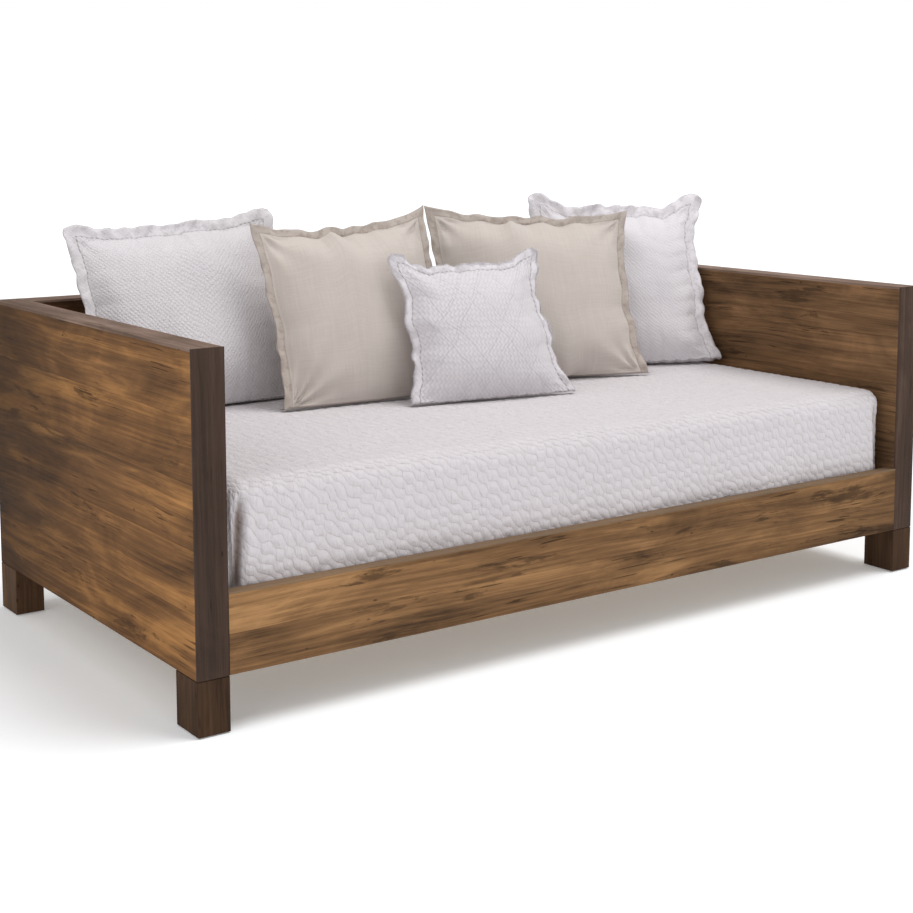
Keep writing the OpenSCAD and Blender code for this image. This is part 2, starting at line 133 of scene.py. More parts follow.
def wood(name, along, across, tones, stave=0.128, start=0.115, smudge=0.5, gold=0.5, shade_falloff=None, wear=None):
    """Staves along one axis, stacked across another: from start on, one every stave metres.

    tones are the stain in its dark places, its middle and its light streaks. smudge and gold
    are how much of the surface the dark smudges and the light streaks take. The argument after
    gold is (axis, dark end, light end, depth) of a slow darkening, painted shade for light
    that falls off across the face; wear is (axis, edge, reach, colour) of a chipped edge.
    """
    s = Shader(name)
    place = s.add("TexCoord").outputs["Object"]
    axes = s.add("SeparateXYZ", place).outputs
    row_part = s.sum("DIVIDE", s.sum("SUBTRACT", axes["XYZ".index(across)], start), stave)
    row = s.sum("FLOOR", row_part)
    batch = 7.0
    board = s.add("CombineXYZ", row, batch, 0.0).outputs[0]
    chance = s.add("TexWhiteNoise", board, noise_dimensions="3D").outputs
    far_apart = s.scaled(chance["Color"], (9, 9, 9))
    shifted = s.add("VectorMath", place, far_apart, operation="ADD").outputs[0]

    def stretched(long, wide, vector=shifted):
        """The place, squeezed to long cycles a metre with the grain and wide across it."""
        return s.scaled(vector, [long if axis == along else wide for axis in "XYZ"])

    # The grain lines sway slowly sideways.
    sway = s.noise(stretched(1.3, 3.0), 2.0)
    sideways = [0.0 if axis == along else 0.045 for axis in "XYZ"]
    bend = s.scaled(s.add("CombineXYZ", sway, sway, sway).outputs[0], sideways)
    bent = s.add("VectorMath", shifted, bend, operation="ADD").outputs[0]

    # The stain: broad streaks, fine lines and slow clouds, with light and dark places.
    streaks = s.noise(stretched(1.1, 17.0, bent), 7.0, 0.62, 0.25)
    lines = s.noise(stretched(1.3, 150.0, bent), 5.0, 0.65)
    pores = s.noise(stretched(13.0, 420.0, bent), 3.0, 0.6)
    cloud = s.noise(stretched(2.6, 6.5), 6.0, 0.62, 0.8)
    shade = s.sum("MULTIPLY_ADD", streaks, 0.46, s.sum("MULTIPLY", cloud, 0.44))
    shade = s.sum("MULTIPLY_ADD", lines, 0.32, s.sum("ADD", shade, -0.04))
    shade = s.sum("MULTIPLY_ADD", chance["Value"], 0.04, shade)
    colour = s.ramp(shade, (0.44, tones[0]), (0.61, tones[1]), (0.78, tones[2]))
    glow = s.noise(stretched(1.6, 15.0, bent), 6.0, 0.6, 0.5)
    glow = s.step(glow, 0.66 - 0.12 * gold, 0.84 - 0.12 * gold)
    colour = s.mix(s.sum("MULTIPLY", glow, 0.7), colour, tones[2])
    stain = s.noise(stretched(3.4, 21.0, bent), 7.0, 0.66, 0.3)
    stain = s.step(stain, 0.67 - 0.12 * smudge, 0.72 - 0.11 * smudge)
    colour = s.mix(s.sum("MULTIPLY", stain, 0.60), colour, tones[0])
    fine = s.sum("MULTIPLY_ADD", pores, 0.9, 0.55)
    colour = s.mix(0.55, colour, s.add("CombineColor", fine, fine, fine).outputs[0], "MULTIPLY")

    # Small dark marks: short cracks in flocks, a knot here and there, and the glue lines.
    crack = s.step(s.noise(stretched(8.0, 230.0, bent), 1.0, 0.4), 0.65, 0.70)
    flocks = s.step(s.noise(stretched(3.0, 8.0), 3.0, 0.6), 0.52, 0.60)
    crack = s.sum("MULTIPLY", crack, flocks)
    knot_cells = s.add("TexVoronoi", stretched(1.9, 5.0, bent))
    knot = s.step(knot_cells.outputs["Distance"], 0.075, 0.02)
    seam = s.step(s.sum("ABSOLUTE", s.sum("SUBTRACT", s.sum("FRACT", row_part), 0.5)), 0.488, 0.497)
    dark = s.sum("MAXIMUM", s.sum("MAXIMUM", crack, knot), s.sum("MULTIPLY", seam, 0.35))
    colour = s.mix(s.sum("MULTIPLY", dark, 0.62), colour, rgb(28, 18, 12))
    # Painted shade: the finished colour darkens slowly along one axis, for light that falls off across the
    # face.
    if shade_falloff is not None:
        axis, dark_end, light_end, depth = shade_falloff
        light = s.step(axes["XYZ".index(axis)], dark_end, light_end)
        colour = s.mix(s.sum("MULTIPLY_ADD", light, -depth, depth), colour, rgb(26, 15, 8))
    if wear is not None:
        axis, edge, reach, worn = wear
        away = s.sum("ABSOLUTE", s.sum("SUBTRACT", axes["XYZ".index(axis)], edge))
        rub = s.sum("MULTIPLY", s.noise(stretched(30.0, 60.0, place), 4.0, 0.7), 2.0 * reach)
        colour = s.mix(s.sum("MULTIPLY", s.sum("LESS_THAN", away, rub), 0.7), colour, worn)
    height = s.sum("MULTIPLY_ADD", pores, 0.00022, s.sum("MULTIPLY", lines, 0.0003))
    height = s.sum("MULTIPLY_ADD", dark, -0.0006, height)
    gloss = s.sum("MULTIPLY_ADD", streaks, 0.25, 0.55)
    return s.finish(colour, gloss, height, shine=0.06)


def paint(material, *nodes):
    """Gives CAD nodes their finish."""
    for node in nodes:
        slots = frame["nodes"][node].data.materials
        if len(slots):
            slots[0] = material
        else:
            slots.append(material)


panel_tones = (rgb(62, 43, 28), rgb(120, 85, 53), rgb(180, 130, 78))
# Painted light: the next tones are a paler copy of the inner ones, for the right end's inner face.
painted_light_inner_tones = (rgb(54, 40, 29), rgb(114, 86, 61), rgb(158, 119, 84))
inner_tones = (rgb(40, 28, 21), rgb(80, 56, 37), rgb(128, 92, 58))
# Painted shade: the outer end faces darken slowly towards the rear.
outer_wood = wood("outer_wood", "Y", "Z", panel_tones, shade_falloff=("Y", 0.60, -0.30, 0.74), gold=1.0)
# Painted light: the right end's inner face gets the paler copy of the end wood, standing in for the light
# that falls on it.
right_inner_painted_light_wood = wood("right_inner_painted_light_wood", "Y", "Z", painted_light_inner_tones, gold=0.3, smudge=0.7)
end_wood = wood("end_wood", "Y", "Z", inner_tones, gold=0.4)
back_wood = wood("back_wood", "X", "Z", inner_tones, gold=0.3)
paint(outer_wood, "left_end_outer_face", "right_end_outer_face")
paint(right_inner_painted_light_wood, "right_end_inner_face")
paint(end_wood, "left_end_inner_face")
paint(back_wood, "back_front_face", "back_rear_face")

# Lippings: thin strips of the same wood glued over the panels' edges. The upright
# ones drank the stain and are nearly black; the top ones are given pale grey tones, a
# painted reflection of the bright light overhead.
lipping_tones = (rgb(56, 45, 39), rgb(75, 60, 52), rgb(98, 80, 69))
# Painted highlight: pale grey tones for the top lippings, for the overhead light they reflect.
painted_highlight_tones = (rgb(92, 74, 62), rgb(132, 110, 98), rgb(168, 146, 134))
upright_wood = wood("upright_wood", "Z", "X", lipping_tones, stave=0.5, smudge=0.2, gold=0.1)
end_top_wood = wood("end_top_wood", "Y", "X", painted_highlight_tones, stave=0.5, smudge=0.5, gold=0.5)
back_top_wood = wood("back_top_wood", "X", "Y", painted_highlight_tones, stave=0.5, smudge=0.5, gold=0.4)
for side in ("left", "right"):
    paint(upright_wood, f"{side}_end_front_lipping", f"{side}_end_rear_lipping")
    paint(end_top_wood, f"{side}_end_top_lipping")
paint(back_top_wood, "back_top_lipping")

# Inside the panels: a ladder of plain planed pine, never stained, with beech
# dowels. It only shows where a panel is opened for repair.
pine_tones = (rgb(176, 138, 92), rgb(206, 172, 122), rgb(226, 198, 152))
pine = wood("pine", "X", "Z", pine_tones, stave=0.2, smudge=0.1, gold=0.3)
pine_upright = wood("pine_upright", "Z", "Y", pine_tones, stave=0.2, smudge=0.1, gold=0.3)
pine_cross = wood("pine_cross", "Y", "Z", pine_tones, stave=0.2, smudge=0.1, gold=0.3)
for side in ("left", "right"):
    paint(pine_upright, f"{side}_end_front_stile", f"{side}_end_rear_stile")
    paint(pine_cross, f"{side}_end_core_rails")
paint(pine_upright, "back_core_stiles")
paint(pine, "back_core_rails")
beech_tones = (rgb(196, 158, 118), rgb(214, 180, 142), rgb(228, 200, 166))
beech = wood("beech", "Z", "X", beech_tones, stave=0.1, smudge=0.0, gold=0.2)
paint(beech, "foot_dowels")

# -----
# The front rail: two boards jointed edge to edge, the warmest wood on the bed,
# with smudges of dark stain and a grey, chipped top corner.

rail_tones = (rgb(56, 42, 32), rgb(130, 97, 66), rgb(186, 142, 96))
rail_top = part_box("front_rail_upper_board")[1].z
# Painted shade: the rail darkens slowly towards its right end.
rail_wood = wood(
    "rail_wood",
    "X",
    "Z",
    rail_tones,
    stave=0.0825,
    smudge=0.8,
    gold=0.6,
    shade_falloff=("X", 1.1, -0.9, 0.28),
    wear=("Z", rail_top, 0.004, rgb(122, 104, 86)),
)
paint(rail_wood, "front_rail_upper_board", "front_rail_lower_board")

# -----
# Feet: four square blocks with the stain of the ends, doweled and bolted up
# into the panels, each on a hard nylon glide.

foot_tones = (rgb(43, 31, 22), rgb(73, 54, 40), rgb(102, 76, 54))
foot_wood = wood("foot_wood", "Z", "Y", foot_tones, stave=0.5, smudge=0.5, gold=0.3)
paint(foot_wood, "front_left_foot", "front_right_foot", "rear_left_foot", "rear_right_foot")


def hard(name, colour, worn, rough, metal, pitch=400.0):
    """A turned, pressed or moulded part: an even colour with fine scuffs and dull patches."""
    s = Shader(name)
    place = s.add("TexCoord").outputs["Object"]
    scuffs = s.noise(s.scaled(place, (pitch, pitch, pitch * 0.2)), 4.0, 0.6)
    patches = s.noise(s.scaled(place, (60.0, 60.0, 60.0)), 3.0, 0.6)
    tint = s.mix(s.step(patches, 0.35, 0.7), colour, worn)
    gloss = s.sum("MULTIPLY_ADD", patches, 0.3, rough - 0.15)
    return s.finish(tint, gloss, s.sum("MULTIPLY", scuffs, 0.00005), metal=metal)


nylon = hard("nylon", rgb(196, 192, 184), rgb(150, 146, 140), 0.5, 0.0)
zinc = hard("zinc", rgb(178, 182, 186), rgb(128, 132, 138), 0.38, 1.0)
brass = hard("brass", rgb(196, 160, 84), rgb(150, 116, 58), 0.36, 1.0)
paint(nylon, "foot_glides")
paint(zinc, "foot_bolts", "corner_brackets", "bracket_bolts", "wood_screws", "slat_screws")
paint(brass, "threaded_inserts")

# -----
# The slatted base: ten planed pine slats, screwed down across two pine ledgers
# that run along the inside of the rail and of the back.

slat_wood = wood("slat_wood", "Y", "X", pine_tones, stave=0.1994, smudge=0.1, gold=0.4)
ledger_wood = wood("ledger_wood", "X", "Z", pine_tones, stave=0.5, smudge=0.1, gold=0.3)
paint(slat_wood, *[f"slat_{number}" for number in range(1, 11)])
paint(ledger_wood, "front_ledger", "rear_ledger")

# -----
# Mattress: a foam block in striped woven ticking, quilted in shallow diamonds,
# with a corded piping sewn round its top and bottom edges.


def surface(name, points, faces, flat=None, **numbers):
    """A smooth mesh from arrays.

    flat is each point's place on the unrolled cloth, in metres; numbers are values kept at
    each point.
    """
    mesh = bpy.data.meshes.new(name)
    mesh.from_pydata(points.tolist(), [], faces.tolist())
    if flat is not None:
        layer = mesh.uv_layers.new(name="cloth")
        layer.data.foreach_set("uv", flat[faces.ravel()].ravel())
    for key, value in numbers.items():
        mesh.attributes.new(key, "FLOAT", "POINT").data.foreach_set("value", value)
    mesh.polygons.foreach_set("use_smooth", np.ones(len(faces), bool))
    piece = bpy.data.objects.new(name, mesh)
    scene.collection.objects.link(piece)
    return piece


def grid_faces(index):
    """Quads between neighbours of a grid of point numbers.

    They face up where the first step is to the right and the second away.
    """
    corners = [index[:-1, :-1], index[1:, :-1], index[1:, 1:], index[:-1, 1:]]
    return np.stack(corners, -1).reshape(-1, 4)


def box_shell(low, high, radius, spacing, closed):
    """The top and sides of a box, and its underside if closed, with every edge rounded.

    Each point on the box goes back to an inner box, smaller by the radius, and out again by
    the radius. Gives the points, their outward directions, their place on the unrolled cloth
    and the faces.
    """
    low, high = np.array(low), np.array(high)
    counts = np.round((high - low) / spacing).astype(int)
    xs, ys = (np.linspace(low[a], high[a], counts[a] + 1) for a in (0, 1))
    x, y = np.meshgrid(xs, ys, indexing="ij")
    top = np.stack([x, y, np.full(x.shape, high[2])], -1)
    index = np.arange(top[..., 0].size).reshape(top.shape[:2])
    rim = np.concatenate([index[:-1, 0], index[-1, :-1], index[:0:-1, -1], index[0, :0:-1]])
    edge = top.reshape(-1, 3)[rim]
    falls = np.linspace(high[2], low[2], counts[2] + 1)[1:]
    sides = np.repeat(edge[None], len(falls), 0)
    sides[..., 2] = falls[:, None]
    numbers = np.vstack([rim, index.size + np.arange(sides[..., 0].size).reshape(len(falls), -1)])
    numbers = np.concatenate([numbers, numbers[:, :1]], 1)
    outward = (edge[:, :2] >= high[:2]) * 1.0 - (edge[:, :2] <= low[:2])
    run = sides[..., :2] + (high[2] - falls)[:, None, None] * outward
    points = [top.reshape(-1, 3), sides.reshape(-1, 3)]
    flat = [top[..., :2].reshape(-1, 2), run.reshape(-1, 2)]
    faces = [grid_faces(index), grid_faces(numbers[::-1].T)]
    if closed:
        under = np.full(index.shape, -1)
        under.ravel()[rim] = numbers[-1, :-1]
        inner = under < 0
        base = index.size + sides[..., 0].size
        under[inner] = base + np.arange(inner.sum())
        below = top[inner] * (1, 1, 0) + (0, 0, low[2])
        points.append(below)
        flat.append(below[:, :2])
        faces.append(grid_faces(under)[:, ::-1])
    points, flat, faces = (np.concatenate(part) for part in (points, flat, faces))
    inside_low = low + radius
    if not closed:
        inside_low[2] = low[2] - 1.0
    inner = np.clip(points, inside_low, high - radius)
    out = points - inner
    out /= np.linalg.norm(out, axis=1, keepdims=True)
    return inner + radius * out, out, flat, faces


def loop(half_x, half_y, radius, centre, height, count=900):
    """Points round a level rectangle with rounded corners, and their outward directions.

    The points are evenly spaced by angle. Each goes back to an inner rectangle, smaller by
    the radius, and out again by the radius.
    """
    angle = np.linspace(0, 2 * math.pi, count, endpoint=False)
    reach = np.stack([np.cos(angle), np.sin(angle)], -1)
    box = np.array([half_x, half_y])
    edge = reach / np.abs(reach / box).max(1, keepdims=True)
    inner = np.clip(edge, radius - box, box - radius)
    out = edge - inner
    out /= np.linalg.norm(out, axis=1, keepdims=True)
    spots = np.zeros((count, 3))
    spots[:, :2] = inner + radius * out + centre
    spots[:, 2] = height
    return spots, np.concatenate([out, np.zeros((count, 1))], 1)


def ring_tube(name, spots, out, wide, tall, sides=8):
    """A closed tube along a level loop: an oval, wide outwards and tall upwards."""
    turn = np.linspace(0, 2 * math.pi, sides, endpoint=False)
    up = np.array([0, 0, 1.0])
    body = spots[:, None] + wide * np.cos(turn)[None, :, None] * out[:, None]
    body = body + tall * np.sin(turn)[None, :, None] * up
    index = np.arange(len(spots) * sides).reshape(len(spots), sides)
    index = np.concatenate([index, index[:1]], 0)
    index = np.concatenate([index, index[:, :1]], 1)
    along = np.cumsum(np.linalg.norm(np.roll(spots, -1, 0) - spots, axis=1))
    flat = np.stack([np.repeat(along, sides), np.tile(turn * tall, len(spots))], -1)
    return surface(name, body.reshape(-1, 3), grid_faces(index), flat)


def ticking(name):
    """Cotton ticking: cream with narrow slate stripes, a fine twill and stitched diamonds."""
    s = Shader(name)
    spot = s.add("UVMap", uv_map="cloth").outputs[0]
    axes = s.add("SeparateXYZ", spot).outputs
    stripes_a_metre = 40.0
    stripe = s.sum("FRACT", s.sum("MULTIPLY", axes[0], stripes_a_metre))
    stripe = s.sum("ABSOLUTE", s.sum("SUBTRACT", stripe, 0.5))
    colour = s.mix(s.step(stripe, 0.30, 0.34), rgb(226, 222, 212), rgb(128, 138, 150))
    fibre = s.noise(s.scaled(spot, (700.0, 700.0, 1.0)), 3.0, 0.6)
    twill = s.sum("SINE", s.sum("MULTIPLY", s.sum("ADD", axes[0], axes[1]), 3600.0))
    height = s.sum("MULTIPLY_ADD", fibre, 0.0002, s.sum("MULTIPLY", twill, 0.00003))
    return s.finish(colour, 0.9, height, shine=0.15, fuzz=0.15)


mattress_low, mattress_high = (np.array(corner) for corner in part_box("mattress_cover"))
slack, slack_below = 0.004, 0.0005
low, high = mattress_low + (slack, slack, slack_below), mattress_high - slack
mattress_round = 0.062
points, out, flat, faces = box_shell(low, high, mattress_round, spacing=0.014, closed=True)
diamond, stitch_depth = 0.075, 0.003
one_way = np.sin(math.pi * (flat[:, 0] + flat[:, 1]) / diamond)
other_way = np.sin(math.pi * (flat[:, 0] - flat[:, 1]) / diamond)
quilt = np.abs(one_way * other_way) ** 0.4
points -= out * ((1 - quilt) * stitch_depth)[:, None]
mattress = surface("mattress_ticking", points, faces, flat)
ticking_cloth = ticking("ticking_cloth")
mattress.data.materials.append(ticking_cloth)
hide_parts("mattress_cover", "mattress_core")
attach(mattress, "mattress")
middle = ((low + high) / 2)[:2]
half = ((high - low) / 2)[:2]
piping_up, piping_in, piping_radius = 0.020, 0.006, 0.005
for word, level in (("lower", low[2] + piping_up), ("upper", high[2] - piping_up)):
    spots, away = loop(*(half - piping_in), mattress_round - piping_in, middle, level)
    piping = ring_tube(f"mattress_{word}_piping", spots, away, piping_radius, piping_radius)
    piping.data.materials.append(ticking_cloth)
    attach(piping, "mattress")

# -----
# Coverlet: one piece of white cotton matelasse, woven in two layers that pucker
# into scales. It lies over the mattress, hangs down its sides behind the rail,
# is folded into a pleat at each corner, and ends in a narrow turned hem.


def drift(x, y, size, seed, waves=9):
    """Smooth unevenness between about -1 and 1.

    It is a sum of plane waves of about that size in metres, in random directions.
    """
    chance = np.random.default_rng(seed)
    total = np.zeros(np.broadcast(x, y).shape)
    for _ in range(waves):
        turn, start = chance.uniform(0, 2 * math.pi, 2)
        pitch = size * chance.uniform(0.7, 1.6)
        total += np.sin((x * math.cos(turn) + y * math.sin(turn)) * 2 * math.pi / pitch + start)
    return total / math.sqrt(waves)


def scales(across, swing):
    """The puckered cells: 0 on a seam and up to 1 in the middle of a cell.

    across counts cells sideways. Each cell is wider than its neighbours by swing, which
    turns about along the seams. A cell's height is (1 - (distance from its middle / half
    its width)^2)^0.6, and a wide cell stands a little higher than a narrow one.
    """
    first = np.floor(across)
    part = across - first - 0.5
    own = 0.5 + np.where(first % 2 == 0, 1.0, -1.0) * swing
    tops = []
    for place, wide in ((part, own), (1 - np.abs(part), 1 - own)):
        crown = np.clip(1 - (place / wide) ** 2, 0, 1) ** 0.6
        tops.append(crown * (wide / 0.86) ** 0.7)
    return np.maximum(*tops)


def scale_nodes(s):
    """The same cells in the shader, from the values kept at each point, with sharp seams."""
    kept = [s.add("Attribute", attribute_name=name) for name in ("across", "swing")]
    across, swing = (node.outputs["Fac"] for node in kept)
    first = s.sum("FLOOR", across)
    part = s.sum("ABSOLUTE", s.sum("SUBTRACT", s.sum("SUBTRACT", across, first), 0.5))
    parity = s.sum("MULTIPLY_ADD", s.sum("FLOORED_MODULO", first, 2.0), -2.0, 1.0)
    own = s.sum("MULTIPLY_ADD", parity, swing, 0.5)
    cells = ((part, own), (s.sum("SUBTRACT", 1.0, part), s.sum("SUBTRACT", 1.0, own)))
    tops = []
    for place, wide in cells:
        bow = s.sum("SUBTRACT", 1.0, s.sum("POWER", s.sum("DIVIDE", place, wide), 2.0))
        crown = s.sum("POWER", s.sum("MAXIMUM", bow, 0.0), 0.6)
        tops.append(s.sum("MULTIPLY", crown, s.sum("POWER", s.sum("DIVIDE", wide, 0.86), 0.7)))
    return s.sum("MAXIMUM", *tops)


def cloth(name, colour, shade, weave, fuzz=0.25, rough=0.9, seam=None, dip=None, edge=0.0):
    """A woven cotton or linen.

    weave adds the cloth's own relief, and gives its height in metres and its shadowed part
    from 0 to 1, the painted shade that draws the colour towards shade in the relief's low
    places. seam is (half width, half height, flange, darkness) of a stitched line round a
    cushion, whose sunk line and holes are darkened with painted shade. dip names the value at
    each point that is 0 in a crease, where painted shade darkens the fold. edge is how much
    darker the flange is, painted shade for a flange that turns away from the light.
    """
    s = Shader(name)
    spot = s.add("UVMap", uv_map="cloth").outputs[0]
    height, hollow = weave(s, spot)
    # Painted shade: where the dip value falls towards 0, in a crease, the colour goes towards shade.
    if dip is not None:
        deep = s.add("Attribute", attribute_name=dip).outputs["Fac"]
        hollow = s.sum("ADD", hollow, s.sum("MULTIPLY_ADD", s.step(deep, 0.1, 0.9), -0.9, 0.9))
    if seam is not None:
        half_x, half_y, flange, dark = seam
        axes = s.add("SeparateXYZ", spot).outputs
        past_x = s.sum("SUBTRACT", s.sum("ABSOLUTE", axes[0]), half_x - flange)
        past_y = s.sum("SUBTRACT", s.sum("ABSOLUTE", axes[1]), half_y - flange)
        past = s.sum("MAXIMUM", past_x, past_y)

        # The hemstitch: a sunk line with small open holes, clearest towards the corners. The holes are
        # darkened with painted shade as far as dark says, and the line a little.
        line = s.step(s.sum("ABSOLUTE", past), 0.0026, 0.0008)
        stitches_a_metre = 75.0
        dash = s.sum("FRACT", s.sum("MULTIPLY", s.sum("ADD", axes[0], axes[1]), stitches_a_metre))
        near = s.step(s.sum("ADD", past_x, past_y), -0.42, -0.04)
        holes = s.sum("MULTIPLY", s.sum("MULTIPLY", line, s.step(dash, 0.62, 0.50)), near)

        # Past it, the flange is smoother, and painted shade flecks it and darkens it as far as edge says,
        # for a flange that turns away from the light.
        outside = s.step(past, -0.001, 0.001)
        hollow = s.sum("MULTIPLY", hollow, s.sum("MULTIPLY_ADD", outside, -0.7, 1.0))
        height = s.sum("MULTIPLY", height, s.sum("MULTIPLY_ADD", outside, -0.6, 1.0))
        flange_shade_flecks = s.step(s.noise(s.scaled(spot, (55.0, 55.0, 1.0)), 2.0, 0.6), 0.50, 0.60)
        hollow = s.sum("MULTIPLY_ADD", s.sum("MULTIPLY", outside, flange_shade_flecks), 0.22, hollow)
        hollow = s.sum("MULTIPLY_ADD", outside, edge, hollow)
        hollow = s.sum("MULTIPLY_ADD", holes, dark, hollow)
        hollow = s.sum("MULTIPLY_ADD", line, 0.14, hollow)
        height = s.sum("MULTIPLY_ADD", line, -0.0006, height)
    # A slow mottle in the cloth's own tone is added to the painted shade; together they draw the colour
    # towards the shade colour.
    mottled = s.noise(s.scaled(spot, (14.0, 14.0, 1.0)), 3.0, 0.6)
    hollow = s.sum("MULTIPLY_ADD", mottled, 0.12, s.sum("ADD", hollow, -0.06))
    tint = s.mix(s.sum("MINIMUM", s.sum("MAXIMUM", hollow, 0.0), 1.0), colour, shade)
    return s.finish(tint, rough, height, shine=0.12, fuzz=fuzz)


def pucker_weave(s, spot):
    """The coverlet's ground: short drawn-in ripples across each scale, and a fine crimp."""
    puff = scale_nodes(s)
    ripple = s.noise(s.scaled(spot, (115.0, 40.0, 1.0)), 2.0, 0.5, 0.8)
    crimp = s.noise(s.scaled(spot, (620.0, 620.0, 1.0)), 2.0, 0.5)
    height = s.sum("MULTIPLY_ADD", ripple, 0.0034, s.sum("MULTIPLY", crimp, 0.0002))
    height = s.sum("MULTIPLY_ADD", puff, 0.0016, height)
    # Painted shade: the seams between the scales and the low parts of the ripples are darkened.
    hollow = s.sum("MULTIPLY", s.step(puff, 0.45, 0.0), 0.26)
    return height, s.sum("MULTIPLY_ADD", s.step(ripple, 0.50, 0.30), 0.10, hollow)


cover_low, cover_high = (np.array(corner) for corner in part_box("coverlet"))
edge_round, seam_depth = 0.042, 0.0036
points, out, flat, faces = box_shell(cover_low, cover_high, edge_round, spacing=0.0059, closed=False)
fall = np.clip((cover_high[2] - points[:, 2]) / (cover_high[2] - cover_low[2]), 0, 1)

# The scales: seams run slantwise, a seam gap apart, and swing from side to side once in
# every scale length. Low waves in the whole cloth grow towards the hem.
seam_gap, scale_length, most_swing, wave_height = 0.0185, 0.040, 0.19, 0.0012
flat_x, flat_y = flat.T
over = 0.66 * flat_x + 0.75 * flat_y + 0.0045 * drift(flat_x, flat_y, 0.10, 4)
along_seam = 0.75 * flat_x - 0.66 * flat_y + 0.006 * drift(flat_x, flat_y, 0.12, 5)
across = over / seam_gap
lean = 1.2 * drift(flat_x, flat_y, 0.07, 7)
swing = most_swing * np.cos(2 * math.pi * along_seam / scale_length + lean)
sink = seam_depth * (1 - scales(across, swing))
sink += wave_height * (1 + drift(flat_x, flat_y, 0.22, 6)) * (0.4 + fall)

# The pleat at each corner: a groove down the front and back drops, close to the end,
# that leans outwards as it falls, with a low swelling beside it.
fold_x = cover_high[0] - 0.034 + 0.016 * fall
upright = np.clip((np.abs(out[:, 1]) - 0.25) / 0.5, 0, 1) ** 2
fold = np.exp(-(((np.abs(points[:, 0]) - fold_x) / (0.011 - 0.003 * fall)) ** 2))
fold *= upright * np.clip((fall - 0.10) / 0.25, 0, 1) * np.clip((1.0 - fall) / 0.1, 0, 1)
lip = np.exp(-(((np.abs(points[:, 0]) - fold_x + 0.022) / 0.012) ** 2)) * upright
fold_depth, lip_height = 0.017, 0.003
points -= out * (sink + fold_depth * fold)[:, None]
points += out * (lip_height * lip * np.sin(math.pi * fall) ** 2)[:, None]
# The crease value is 0 down each pleat; there the matelasse is darkened with painted shade.
coverlet = surface("coverlet_cloth", points, faces, flat, crease=1 - fold, across=across, swing=swing)
matelasse = cloth("matelasse", rgb(213, 208, 211), rgb(156, 140, 132), pucker_weave, dip="crease")
coverlet.data.materials.append(matelasse)
cover_half = ((cover_high - cover_low) / 2)[:2]
cover_middle = ((cover_high + cover_low) / 2)[:2]
hem_in = 0.004
spots, away = loop(*(cover_half - hem_in), edge_round, cover_middle, cover_low[2] + hem_in)
hem = ring_tube("coverlet_hem", spots, away, wide=0.0026, tall=0.007)
# The hem has no crease value, which reads as 0, so the whole hem takes the painted shade of a crease.
hem.data.materials.append(matelasse)
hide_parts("coverlet")
for piece in (coverlet, hem):
    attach(piece, "mattress")

# -----
# Left sham: a large white cushion in crinkled cotton with a flat flange, which
# is joined by a line of open hemstitch. It leans on the back in the left corner.


def two_faced(name, front, back, flat=None):
    """A closed cushion from two grids that share their outer points."""
    index = np.arange(front[..., 0].size).reshape(front.shape[:2])
    behind = index.copy()
    inner = behind[1:-1, 1:-1]
    inner[:] = index.size + np.arange(inner.size).reshape(inner.shape)
    points = np.vstack([front.reshape(-1, 3), back[1:-1, 1:-1].reshape(-1, 3)])
    faces = np.vstack([grid_faces(index), grid_faces(behind)[:, ::-1]])
    if flat is not None:
        flat = np.vstack([flat.reshape(-1, 2), flat[1:-1, 1:-1].reshape(-1, 2)])
    return surface(name, points, faces, flat)


def blown_up(half_x, half_y, deep, seed, spacing=0.013):
    """Two rectangles of cloth, sewn edge to edge and filled by the cloth solver.

    They start as a low lens, 0.62 deep ((1 - u^2)(1 - v^2))^0.45, and are smoothed once they
    are filled. Gives the front and back grids.
    """
    counts = [int(round(2 * half / spacing)) + 1 for half in (half_x, half_y)]
    u, v = np.meshgrid(*[np.linspace(-1, 1, count) for count in counts], indexing="ij")
    lens = 0.62 * deep * ((1 - u**2) * (1 - v**2)) ** 0.45
    lens = lens * (1 + 0.02 * drift(u * half_x, v * half_y, 0.20, seed))
    front = np.stack([u * half_x, v * half_y, lens], -1)
    back = front * (1, 1, -1)
    piece = two_faced("filling_cloth", front, back)
    solver = piece.modifiers.new("cloth", "CLOTH").settings
    solver.quality = 6
    solver.mass = 0.25
    solver.tension_stiffness = 14
    solver.compression_stiffness = 10
    solver.shear_stiffness = 5
    solver.bending_stiffness = 14
    solver.use_pressure = True
    solver.uniform_pressure_force = 4
    solver.effector_weights.gravity = 0
    last_moment, smoothing_rounds = 20, 16
    for moment in range(1, last_moment + 1):
        scene.frame_set(moment)
    mesh = piece.evaluated_get(bpy.context.evaluated_depsgraph_get()).to_mesh()
    found = np.empty(len(mesh.vertices) * 3)
    mesh.vertices.foreach_get("co", found)
    found = found.reshape(-1, 3)
    front = found[: u.size].reshape(*u.shape, 3)
    back = front.copy()
    back[1:-1, 1:-1] = found[u.size :].reshape(u.shape[0] - 2, u.shape[1] - 2, 3)
    bpy.data.objects.remove(piece)
    scene.frame_set(1)
    for _ in range(smoothing_rounds):
        for grid in (front, back):
            near = grid[2:, 1:-1] + grid[:-2, 1:-1] + grid[1:-1, 2:] + grid[1:-1, :-2]
            grid[1:-1, 1:-1] = 0.5 * grid[1:-1, 1:-1] + 0.125 * near
    return front, back


def finer(count, fine):
    """Catmull-Rom weights that carry count evenly spaced values to fine of them."""
    place = np.linspace(0, count - 1, fine)
    first = np.clip(place.astype(int), 0, count - 2)
    t = place - first
    weights = np.zeros((fine, count))
    parts = (-0.5 * t + t**2 - 0.5 * t**3, 1 - 2.5 * t**2 + 1.5 * t**3)
    parts += (0.5 * t + 2 * t**2 - 1.5 * t**3, -0.5 * t**2 + 0.5 * t**3)
    for offset, part in enumerate(parts):
        np.add.at(weights, (np.arange(fine), np.clip(first - 1 + offset, 0, count - 1)), part)
    return weights


